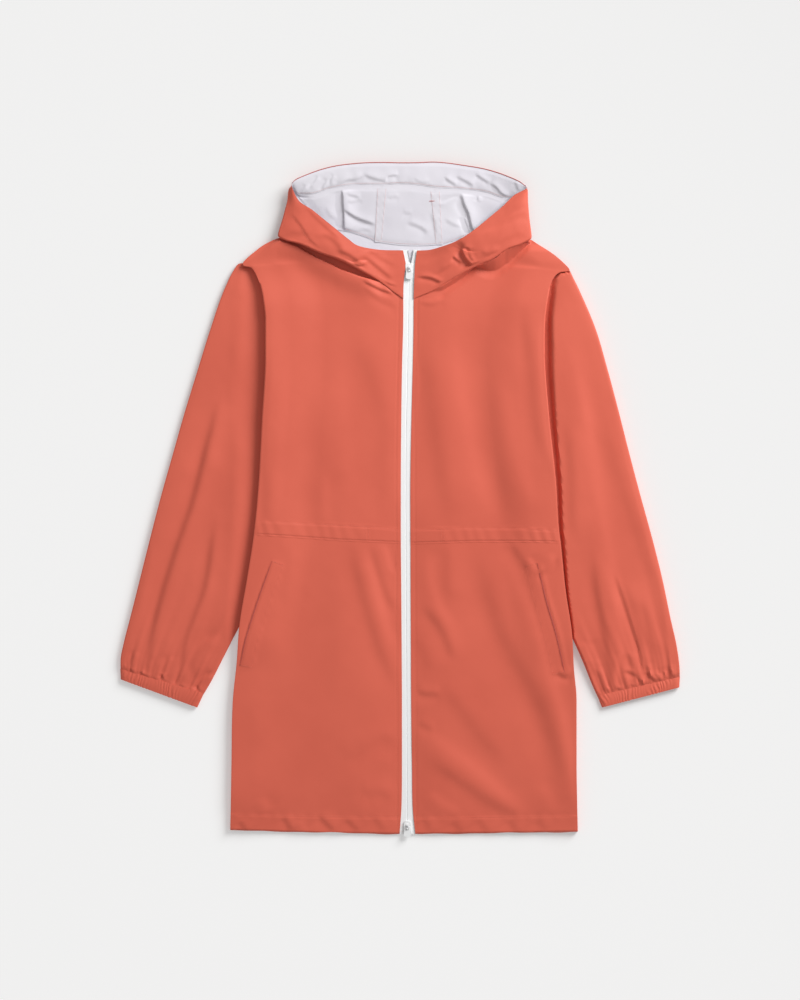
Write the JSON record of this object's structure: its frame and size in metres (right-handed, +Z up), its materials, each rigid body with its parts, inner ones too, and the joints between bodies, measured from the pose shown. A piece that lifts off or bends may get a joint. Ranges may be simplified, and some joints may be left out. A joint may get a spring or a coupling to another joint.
{
  "type": "rain jacket",
  "caption": "Hooded mid-thigh rain jacket laid flat on its back, with a full-length zip, slanted welt pockets, a waist casing, gathered cuffs and an open three-panel hood.",
  "frame": {"origin": "centre of the laid jacket's outline, on the surface that it lies on", "axes": "+Z up from the surface, +Y from the hem to the hood along the zip, +X to the wearer's left"},
  "size_m": [0.8387, 1.0088, 0.0218],
  "materials": {
    "shell_cloth": "matte coated coral cloth",
    "hood_inside": "pale lavender-white coated cloth",
    "zip_tape": "smooth white coated tape",
    "zip_hardware": "white enamel, semi-gloss"
  },
  "bodies": {
    "garment": {"back_panel": "shell_cloth", "front_right": "shell_cloth", "front_left": "shell_cloth", "waist_casing_right": "shell_cloth", "waist_casing_left": "shell_cloth", "pocket_welt_right": "shell_cloth", "pocket_welt_left": "shell_cloth", "sleeve_right": "shell_cloth", "sleeve_left": "shell_cloth", "cuff_right": "shell_cloth", "cuff_left": "shell_cloth", "hood_side_right": "shell_cloth", "hood_side_left": "shell_cloth", "hood_centre": "shell_cloth", "hood_crown_layers": "shell_cloth", "hood_brim_facing": "hood_inside", "hood_seam_tape_right": "hood_inside", "hood_seam_tape_left": "hood_inside", "zip_tape_right": "zip_tape", "zip_tape_left": "zip_tape", "slider_top": "zip_hardware", "slider_bottom": "zip_hardware"},
    "pull_top": {"pull_tab_top": "zip_hardware"},
    "pull_bottom": {"pull_tab_bottom": "zip_hardware"}
  },
  "joints": [
    {"name": "top_pull_swing", "type": "hinge", "parent": "garment", "child": "pull_top", "pos_m": [0.01387, 0.3458, 0.00635], "axis": [-1, 0, 0], "range_deg": [0, 150]},
    {"name": "bottom_pull_swing", "type": "hinge", "parent": "garment", "child": "pull_bottom", "pos_m": [0.01098, -0.489, 0.00635], "axis": [-1, 0, 0], "range_deg": [0, 150]}
  ]
}
